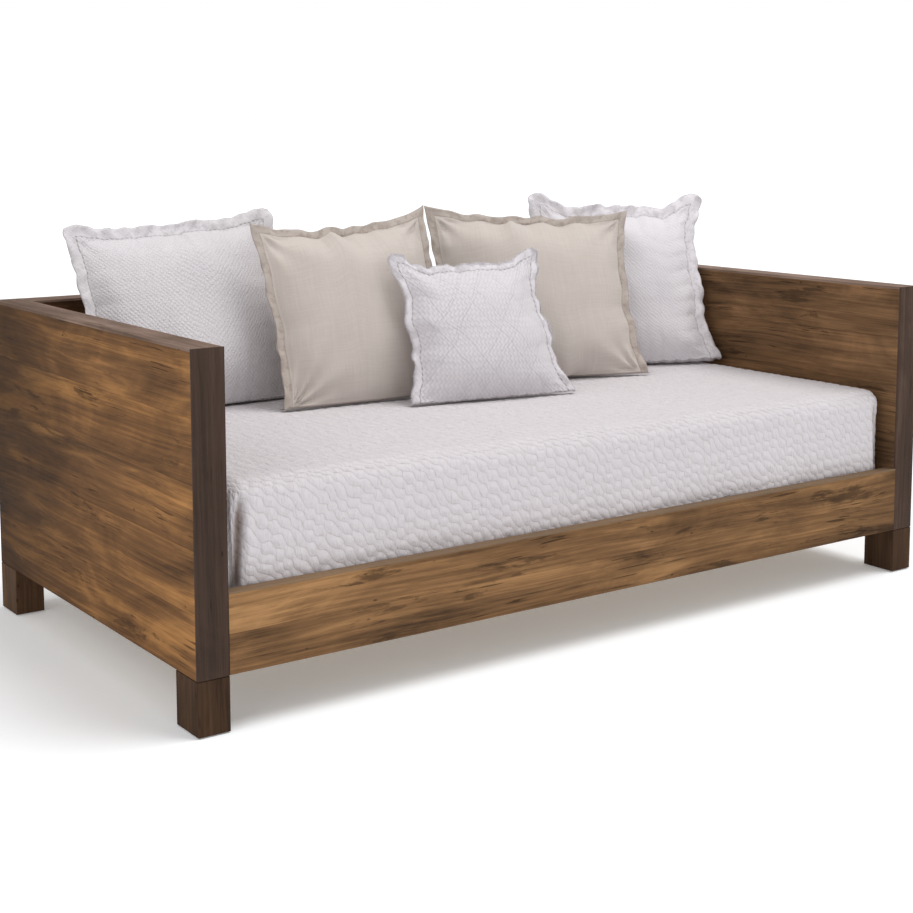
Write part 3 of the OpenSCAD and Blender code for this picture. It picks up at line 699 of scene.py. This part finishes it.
def spread(edges, u, v):
    """Carries shifts of the four edges into a rectangle, as a patch between four curves.

    u and v go from -1 to 1. It is the sum of the two straight blends between facing edges,
    less the blend of the four corners.
    """
    left, right, bottom, top = edges
    a, b = (u + 1)[..., None] / 2, (v + 1)[..., None] / 2
    sides = (1 - a) * left[None] + a * right[None] + (1 - b) * bottom[:, None] + b * top[:, None]
    lower = (1 - a) * (1 - b) * left[0] + a * (1 - b) * right[0]
    return sides - (lower + (1 - a) * b * left[-1] + a * b * right[-1])


def cushion(
    name,
    size,
    flange,
    deep,
    tips,
    sags,
    seed,
    ruffle=0.004,
    scallop=0.0,
    pucker=0.002,
    lobes=0.0,
    ears=0.05,
    gathers=(1, 1, 1, 1),
):
    """A filled cushion with a flange, made upright, then leaned and turned as its CAD solid is.

    tips are how far the corners stand out from a plain rectangle, bottom left, bottom right,
    top left, top right. sags are how far the left, right, bottom and top edges sink in
    between. ruffle and scallop are the height of the flange's waves out of its plane and in
    it. pucker is the height of the small pleats along the seam, and gathers makes more of
    them at each corner. lobes rounds the flange's corners. ears is how far the corners stay
    empty of filling.
    """
    spacing, clearance, skin, tuck = 0.004, 0.002, 0.0004, flange - 0.004
    pleat_gap, pleat_reach, ray_reach, wave_gap, scallop_gap = 0.045, 0.045, 0.07, 0.055, 0.042
    half = np.array(size) / 2
    pad = half - flange

    # The filled part, carried from the solver's coarse grid to a fine one that goes on
    # into the flange. Its corners are pressed flat.
    soft = blown_up(pad[0], pad[1], deep / 2, seed)
    counts = [int(round(2 * p / spacing)) + 1 for p in pad]
    weights = [finer(soft[0].shape[axis], counts[axis]) for axis in (0, 1)]
    rows = max(3, int(round(flange / spacing)))
    lines = []
    for axis in (0, 1):
        inner = np.linspace(-pad[axis], pad[axis], counts[axis])
        past = pad[axis] + flange * np.arange(1, rows + 1) / rows
        lines.append(np.concatenate([-past[::-1], inner, past]))
    x, y = np.meshgrid(*lines, indexing="ij")
    core = (slice(rows, -rows), slice(rows, -rows))
    reach = np.maximum(np.abs(x) - pad[0], np.abs(y) - pad[1]) / flange
    hanging = np.clip(reach, 0, 1)
    from_seam = np.clip(-reach * flange, 0, None)
    depth = [np.zeros(x.shape), np.zeros(x.shape)]
    moved = np.zeros((*x.shape, 2))
    for face, grid in enumerate(soft):
        full = np.einsum("ai,ijc,bj->abc", weights[0], grid, weights[1])
        plan = full[..., :2] - np.stack([x[core], y[core]], -1)
        edges = (plan[0], plan[-1], plan[:, 0], plan[:, -1])
        depth[face][core] = full[..., 2]
        if face == 0:
            moved[core] = plan - spread(edges, x[core] / pad[0], y[core] / pad[1])
    corner_away = np.hypot(*(np.clip(p - np.abs(at), 0, None) for p, at in zip(pad, (x, y))))
    flattened = 1 - np.exp(-((corner_away / ears) ** 2))
    depth = [part * np.where(y < 0, 0.35 + 0.65 * flattened, flattened) for part in depth]
    thickest = max(depth[0].max(), -depth[1].min())
    depth = [part * (deep / 2 - clearance) / thickest for part in depth]

    # Small pleats that run in from the seam, rays from each corner, and slow dents.
    crease = np.exp(-from_seam / pleat_reach) * np.clip(from_seam / 0.008, 0, 1)
    near_x = np.clip(np.abs(x) / half[0], 0, 1) ** 4
    near_y = np.clip(np.abs(y) / half[1], 0, 1) ** 4
    pleats = near_x * drift(x * 0.25, y, pleat_gap, seed + 1)
    pleats = pleats + near_y * drift(x, y * 0.25, pleat_gap, seed + 2)
    height = pucker * crease * pleats
    for corner, (cx, cy) in enumerate(((-1, -1), (1, -1), (-1, 1), (1, 1))):
        dx, dy = cx * x - pad[0], cy * y - pad[1]
        away, angle = np.hypot(dx, dy), np.arctan2(dy, dx)
        rays = np.sin((5 + 2 * gathers[corner]) * angle + corner + seed)
        rays = rays * np.clip(from_seam / 0.015, 0, 1)
        height += 1.6 * pucker * gathers[corner] * np.exp(-away / ray_reach) * rays
    height += 0.0022 * drift(x, y, 0.16, seed + 3) * np.clip(from_seam / 0.05, 0, 1)

    # The flange waves, but under the cushion it is tucked back behind the seam.
    wave = ruffle * hanging * drift(x, y, wave_gap, seed + 4)
    under = np.clip((-pad[1] - y) / flange, 0, 1)
    wave = wave * (under <= 0) - flange * 0.9 * under
    height = height * np.clip((y + half[1]) / 0.035, 0, 1)
    thin = 0.0014 * np.sqrt(np.clip(1 - hanging, 0, 1)) + skin
    thin[[0, -1], :] = 0
    thin[:, [0, -1]] = 0

    # Each edge runs from corner to corner, sinks in between and has small scallops.
    targets = []
    corners = np.array([(-1, -1), (1, -1), (-1, 1), (1, 1)]) * half + tips
    for first, last, axis, sag, way in (
        (0, 2, 1, sags[0], (1, 0)),
        (1, 3, 1, sags[1], (-1, 0)),
        (0, 1, 0, sags[2], (0, 1)),
        (2, 3, 0, sags[3], (0, -1)),
    ):
        line = lines[axis]
        part = (line / half[axis] + 1) / 2
        chord = corners[first] + part[:, None] * (corners[last] - corners[first])
        inside = np.clip((np.minimum(part, 1 - part) - 0.03) / 0.22, 0, 1)
        rounded = inside**2 * (3 - 2 * inside)
        pointed = np.clip(4 * part * (1 - part), 0, None) ** 0.75
        bow = sag * (rounded if lobes else pointed)
        uneven = drift(line, 0 * line, 0.09, seed + 5 + first + last)
        bow += 0.12 * sag * uneven * np.sin(math.pi * part)
        bow -= scallop * np.abs(np.sin(math.pi * line / scallop_gap + first))
        plain = np.zeros((len(line), 2))
        plain[:, axis] = line
        plain[:, 1 - axis] = half[1 - axis] * -way[1 - axis]
        targets.append(chord + bow[:, None] * np.array(way) - plain)
    shift = spread(targets, x / half[0], y / half[1]) + moved

    # In the flange's corners, a square becomes a quarter circle as far as lobes says.
    past = np.clip(np.abs(np.stack([x, y], -1)) - pad, 0, flange) / flange
    both = past.min(-1) > 0
    length = np.where(both, np.hypot(past[..., 0], past[..., 1]), 1)
    inward = lobes * flange * past * (np.where(both, past.max(-1) / length, 1) - 1)[..., None]
    shift += inward * np.sign(np.stack([x, y], -1))
    shift[..., 1] -= np.clip((pad[1] - y) / (2 * pad[1]), 0, 1) * tuck
    shift[..., 1] += under * tuck

    # Its place: it slides up in its own leaning plane, so the slide gives its lean and turn.
    cover = f"{name}_cover"
    lift = next(joint for joint in frame["joints"] if joint["name"] == f"{name}_lift")
    up = np.array(lift["axis"], float)
    up /= np.linalg.norm(up)
    turn = math.atan2(up[0], up[1])
    right = np.array([math.cos(turn), -math.sin(turn), 0])
    ahead = np.cross(right, up)
    low, high = (np.array(corner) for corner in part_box(cover))
    centre = (low + high) / 2
    lowest = low[2] + 0.0005
    faces = []
    for side, part in ((1, depth[0]), (-1, depth[1])):
        local_z = np.where(np.abs(part) > thin, part, side * thin)
        local_z = local_z + side * height * (hanging <= 0) + wave
        grid = centre + (x + shift[..., 0])[..., None] * right + (y + shift[..., 1])[..., None] * up
        grid = grid + local_z[..., None] * ahead
        grid[..., 2] = np.maximum(grid[..., 2], lowest)
        faces.append(grid)
    piece = two_faced(f"{name}_pad", faces[0], faces[1], np.stack([x, y], -1))
    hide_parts(cover, f"{name}_filling")
    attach(piece, name)
    return piece, faces[0], (right, up, ahead)


def crinkle_weave(s, spot):
    """Crinkled cotton: two sets of uneven slanting ridges that cross in small diamonds."""
    wobble = s.noise(s.scaled(spot, (42.0, 42.0, 1.0)), 3.0, 0.6)
    axes = s.add("SeparateXYZ", spot).outputs
    one = s.sum("ADD", axes[0], s.sum("MULTIPLY_ADD", wobble, 0.012, axes[1]))
    two = s.sum("SUBTRACT", axes[0], s.sum("MULTIPLY_ADD", wobble, -0.012, axes[1]))
    ridge_gap = 0.0115
    waves = [s.sum("SINE", s.sum("MULTIPLY", line, math.pi / ridge_gap)) for line in (one, two)]
    cells = s.sum("MULTIPLY", *[s.sum("ABSOLUTE", wave) for wave in waves])
    patchy = s.noise(s.scaled(spot, (120.0, 120.0, 1.0)), 3.0, 0.6)
    height = s.sum("MULTIPLY_ADD", cells, 0.0011, s.sum("MULTIPLY", patchy, 0.0024))
    # Painted shade in the low lines between the diamonds.
    return height, s.sum("MULTIPLY", s.step(cells, 0.4, 0.0), 0.07)


white = rgb(218, 214, 217)
white_shade = rgb(150, 142, 143)
left_sham, _, _ = cushion(
    "left_sham",
    (0.600, 0.495),
    flange=0.030,
    deep=0.150,
    tips=((0.030, 0.0), (-0.020, 0.0), (0.014, -0.020), (-0.008, 0.014)),
    sags=(0.012, 0.012, -0.002, 0.020),
    seed=11,
    ruffle=0.006,
    scallop=0.002,
    lobes=0.6,
    ears=0.04,
)
left_sham.data.materials.append(
    cloth("crinkled_cotton", white, white_shade, crinkle_weave, seam=(0.300, 0.2475, 0.030, 0.5))
)

# -----
# Left linen cushion: washed beige linen, loosely filled, with a narrow flange
# whose corners stand up in ears. It leans on the left sham.


def linen_weave(s, spot):
    """Plain linen: slubbed threads both ways, seen as faint bars, over a fine tooth."""
    upright = s.noise(s.scaled(spot, (340.0, 9.0, 1.0)), 5.0, 0.7)
    level = s.noise(s.scaled(spot, (9.0, 300.0, 1.0)), 5.0, 0.7)
    tooth = s.noise(s.scaled(spot, (1100.0, 1100.0, 1.0)), 2.0, 0.5)
    threads = s.sum("ADD", upright, level)
    height = s.sum("MULTIPLY_ADD", threads, 0.00012, s.sum("MULTIPLY", tooth, 0.00020))
    # Painted shade where the threads lie low.
    return height, s.sum("MULTIPLY", s.step(threads, 1.20, 0.80), 0.14)


linen = rgb(204, 195, 188)
linen_shade = rgb(138, 122, 110)
left_linen, _, _ = cushion(
    "left_linen",
    (0.530, 0.490),
    flange=0.022,
    deep=0.140,
    tips=((0.006, 0.0), (0.004, 0.0), (0.004, -0.008), (-0.012, 0.022)),
    sags=(0.018, 0.014, 0.0, 0.043),
    seed=23,
    ruffle=0.004,
    pucker=0.0020,
    ears=0.07,
    gathers=(4, 1, 2, 2),
)
left_linen.data.materials.append(
    cloth("left_linen_cloth", linen, linen_shade, linen_weave, seam=(0.265, 0.245, 0.022, 0.1), edge=0.35)
)

# -----
# Right sham: a white cushion quilted in slanting wavy ripples, with a scalloped
# flange. It stands in the right corner, turned towards the middle of the bed.


def ripple_weave(s, spot):
    """Wavy quilted ripples that run down to the right, close together."""
    wobble = s.noise(s.scaled(spot, (34.0, 34.0, 1.0)), 3.0, 0.55)
    axes = s.add("SeparateXYZ", spot).outputs
    bent = s.sum("MULTIPLY_ADD", wobble, 0.020, axes[1])
    line = s.sum("ADD", s.sum("MULTIPLY", axes[0], 0.75), bent)
    ripple_gap = 0.0105
    wave = s.sum("SINE", s.sum("MULTIPLY", line, 2 * math.pi / ripple_gap))
    wave = s.sum("MULTIPLY_ADD", wave, 0.5, 0.5)
    patchy = s.noise(s.scaled(spot, (180.0, 180.0, 1.0)), 3.0, 0.6)
    height = s.sum("MULTIPLY_ADD", wave, 0.0005, s.sum("MULTIPLY", patchy, 0.0018))
    # Painted shade in the troughs of the ripples.
    return height, s.sum("MULTIPLY", s.step(wave, 0.4, 0.0), 0.07)


right_sham, _, _ = cushion(
    "right_sham",
    (0.530, 0.495),
    flange=0.034,
    deep=0.150,
    tips=((0.030, 0.0), (0.030, 0.010), (0.012, 0.030), (0.016, 0.026)),
    sags=(0.010, 0.036, 0.0, 0.046),
    seed=37,
    ruffle=0.007,
    scallop=0.004,
    pucker=0.0020,
    lobes=1.0,
    ears=0.04,
)
right_sham.data.materials.append(
    cloth("rippled_cotton", rgb(226, 222, 226), white_shade, ripple_weave, seam=(0.265, 0.2475, 0.034, 0.3))
)

# -----
# Right linen cushion: the pair of the left one, in the same linen, in front of
# the right sham. One lower corner lies out on the coverlet.

right_linen, _, _ = cushion(
    "right_linen",
    (0.570, 0.490),
    flange=0.022,
    deep=0.140,
    tips=((0.004, 0.0), (0.034, 0.0), (-0.004, 0.012), (0.026, -0.010)),
    sags=(0.014, 0.036, 0.0, 0.030),
    seed=41,
    ruffle=0.004,
    pucker=0.0020,
    ears=0.07,
    gathers=(1, 3, 2, 2),
)
right_linen.data.materials.append(
    cloth("right_linen_cloth", linen, linen_shade, linen_weave, seam=(0.285, 0.245, 0.022, 0.1), edge=0.35)
)

# -----
# Small cushion: white basket-woven cotton with long raised ridges crossing
# slantwise, and a frayed fringe of its own threads all round. It leans in front.


def basket_weave(s, spot):
    """Basket weave on the slant: small squares, softened by loose fibres.

    Here and there a thicker thread stands up as a long ridge.
    """
    axes = s.add("SeparateXYZ", spot).outputs
    lean = s.sum("MULTIPLY", s.noise(s.scaled(spot, (7.0, 7.0, 1.0)), 1.0, 0.5), 0.006)
    fibres = s.noise(s.scaled(spot, (260.0, 260.0, 1.0)), 4.0, 0.65)
    height = s.sum("MULTIPLY", fibres, 0.0012)
    # Painted shade where the loose fibres lie low.
    hollow = s.sum("MULTIPLY", s.step(fibres, 0.50, 0.30), 0.12)
    cords, turns = [], []
    for way, pitch in ((1, 0.0088), (-1, 0.0096)):
        line = s.sum("MULTIPLY_ADD", axes[0], 0.78, s.sum("MULTIPLY_ADD", axes[1], 0.62 * way, lean))
        cell = s.sum("DIVIDE", line, pitch)
        number = s.sum("FLOOR", cell)
        chance = s.add("TexWhiteNoise", None, number, noise_dimensions="1D").outputs["Value"]
        middle = s.sum("ABSOLUTE", s.sum("SUBTRACT", s.sum("SUBTRACT", cell, number), 0.5))
        cord = s.step(middle, 0.48, 0.15)
        cords.append(cord)
        turns.append(number)
        ridge = s.sum("MULTIPLY", s.step(chance, 0.84, 0.88), 0.0008)
        height = s.sum("MULTIPLY_ADD", cord, ridge, height)
    over = s.sum("FLOORED_MODULO", s.sum("ADD", *turns), 2.0)
    under = s.sum("SUBTRACT", 1.0, over)
    crossing = s.sum("MULTIPLY_ADD", cords[0], over, s.sum("MULTIPLY", cords[1], under))
    height = s.sum("MULTIPLY_ADD", crossing, 0.0013, height)
    # Painted shade, too, in the low squares between the crossing cords.
    return height, s.sum("MULTIPLY_ADD", s.step(crossing, 0.5, 0.0), 0.10, hollow)


small, small_grid, small_axes = cushion(
    "small_cushion",
    (0.440, 0.385),
    flange=0.020,
    deep=0.120,
    tips=((-0.006, 0.0), (0.026, 0.0), (-0.004, 0.002), (-0.016, 0.004)),
    sags=(0.026, 0.030, 0.0, 0.036),
    seed=61,
    ruffle=0.007,
    scallop=0.003,
    pucker=0.0012,
    lobes=1.0,
    ears=0.035,
)
basket_seam = (0.220, 0.1925, 0.020, 0.5)
basket_cloth = cloth("basket_cloth", rgb(223, 219, 223), white_shade, basket_weave, seam=basket_seam)
small.data.materials.append(basket_cloth)


def fringe(name, grid, axes, pitch, length, seed, floor):
    """Short curling threads, close together, round the edge of a grid.

    Each starts on the edge and goes outwards in the grid's plane, and bends sideways and
    forwards with the square of its length.
    """
    chance = np.random.default_rng(seed)
    rooted, thickness = 0.003, 0.0011
    rim = np.concatenate([grid[:-1, 0], grid[-1, :-1], grid[:0:-1, -1], grid[0, :0:-1]])
    inner = np.concatenate([grid[:-1, 2], grid[-3, :-1], grid[:0:-1, -3], grid[2, :0:-1]])
    steps = np.linalg.norm(np.roll(rim, -1, 0) - rim, axis=1)
    place = np.concatenate([[0], np.cumsum(steps)])
    spots = np.arange(0, place[-1], pitch)
    spots = spots + chance.uniform(-0.4, 0.4, len(spots)) * pitch

    def along_edge(part):
        closed = np.vstack([part, part[:1]])
        return np.stack([np.interp(spots, place, closed[:, c]) for c in range(3)], -1)

    root = along_edge(rim)
    away = root - along_edge(inner)
    away /= np.linalg.norm(away, axis=1, keepdims=True)
    ahead = axes[2]
    along = np.cross(ahead, away)
    rings, sides = 6, 3
    t = np.linspace(0, 1, rings)[None, :, None]
    count = len(spots)
    reach = (length * chance.uniform(0.55, 1.15, count))[:, None, None]
    sway, bend = (chance.normal(0, 0.35, count)[:, None, None] for _ in range(2))
    curl = chance.uniform(-1, 1, count)[:, None, None]
    path = root[:, None] - rooted * away[:, None]
    path = path + reach * (t * away[:, None] + sway * t**2 * along[:, None])
    path = path + reach * (bend * t**2 + 0.12 * curl * np.sin(math.pi * t)) * ahead
    path[..., 2] = np.maximum(path[..., 2], floor)
    turn = np.linspace(0, 2 * math.pi, sides, endpoint=False)[None, None, :, None]
    thick = thickness * (1 - 0.5 * t)
    ring = np.cos(turn) * along[:, None, None] + np.sin(turn) * ahead
    body = path[:, :, None] + thick[..., None] * ring
    index = np.arange(count * rings * sides).reshape(count, rings, sides)
    index = np.concatenate([index, index[..., :1]], 2)
    corners = [index[:, :-1, :-1], index[:, :-1, 1:], index[:, 1:, 1:], index[:, 1:, :-1]]
    faces = np.stack(corners, -1).reshape(-1, 4)
    outward = np.repeat(np.linspace(0, length, rings), sides)
    flat = np.stack([np.repeat(spots, rings * sides), np.tile(outward, count)], -1)
    return surface(name, body.reshape(-1, 3), faces, flat)


threads = fringe(
    "small_cushion_fringe",
    small_grid,
    small_axes,
    pitch=0.0009,
    length=0.0058,
    seed=71,
    floor=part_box("small_cushion_cover")[0].z + 0.001,
)
threads.data.materials.append(basket_cloth)
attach(threads, "small_cushion")

# -----
# The room: a plain pale floor, an even white surround, a broad soft lamp high on
# the right and a fainter one on the left.

floor_half = 40.0
corners = np.array([(-1, -1, 0), (1, -1, 0), (1, 1, 0), (-1, 1, 0)]) * floor_half
floor = surface("floor", corners, np.array([[0, 1, 2, 3]]))
floor_paint = Shader("floor_paint")
floor_place = floor_paint.add("TexCoord").outputs["Object"]
speckle = floor_paint.noise(floor_paint.scaled(floor_place, (3.0, 3.0, 3.0)), 2.0)
floor_tint = floor_paint.mix(speckle, rgb(242, 245, 248), rgb(246, 248, 250))
floor_paint.put(floor_paint.surface.inputs["Emission Color"], rgb(255, 255, 255))
floor_paint.put(floor_paint.surface.inputs["Emission Strength"], 0.17)
floor.data.materials.append(floor_paint.finish(floor_tint, 0.9, shine=0.0))

world = bpy.data.worlds.new("surround")
world.use_nodes = True
sky = world.node_tree
glow = sky.nodes["Background"]
glow.inputs["Strength"].default_value = 0.57
glow.inputs["Color"].default_value = (1.0, 0.985, 0.975, 1.0)
seen = sky.nodes.new("ShaderNodeBackground")
seen.inputs["Color"].default_value = (1.0, 1.0, 1.0, 1.0)
choose = sky.nodes.new("ShaderNodeMixShader")
sky.links.new(sky.nodes.new("ShaderNodeLightPath").outputs["Is Camera Ray"], choose.inputs[0])
sky.links.new(glow.outputs[0], choose.inputs[1])
sky.links.new(seen.outputs[0], choose.inputs[2])
sky.links.new(choose.outputs[0], sky.nodes["World Output"].inputs["Surface"])
scene.world = world


def lamp(name, toward, strength, softness):
    """An even soft lamp, far off, that shines along a direction; softness is its width in degrees."""
    light = bpy.data.lights.new(name, "SUN")
    light.energy = strength
    light.angle = math.radians(softness)
    holder = bpy.data.objects.new(name, light)
    scene.collection.objects.link(holder)
    holder.rotation_euler = Vector(toward).to_track_quat("-Z", "Y").to_euler()


lamp("key_lamp", (-0.42, 0.20, -1.0), 1.72, 35)
lamp("side_lamp", (0.9, 0.25, -0.5), 0.62, 60)

# -----
# Camera: at a seated person's eye height, off the left front corner, looking a
# little down, with its frame moved down.

camera_data = bpy.data.cameras.new("camera")
camera_data.sensor_width = 36.0
camera_data.lens = 63.40
camera_data.shift_y = -0.15
camera = bpy.data.objects.new("camera", camera_data)
scene.collection.objects.link(camera)
camera.location = (-2.376, -3.2495, 1.1718)
camera.rotation_euler = (math.radians(90 - 6.80), 0.0, math.radians(-35.496))
scene.camera = camera
scene.view_settings.view_transform = "Standard"
scene.view_settings.look = "None"
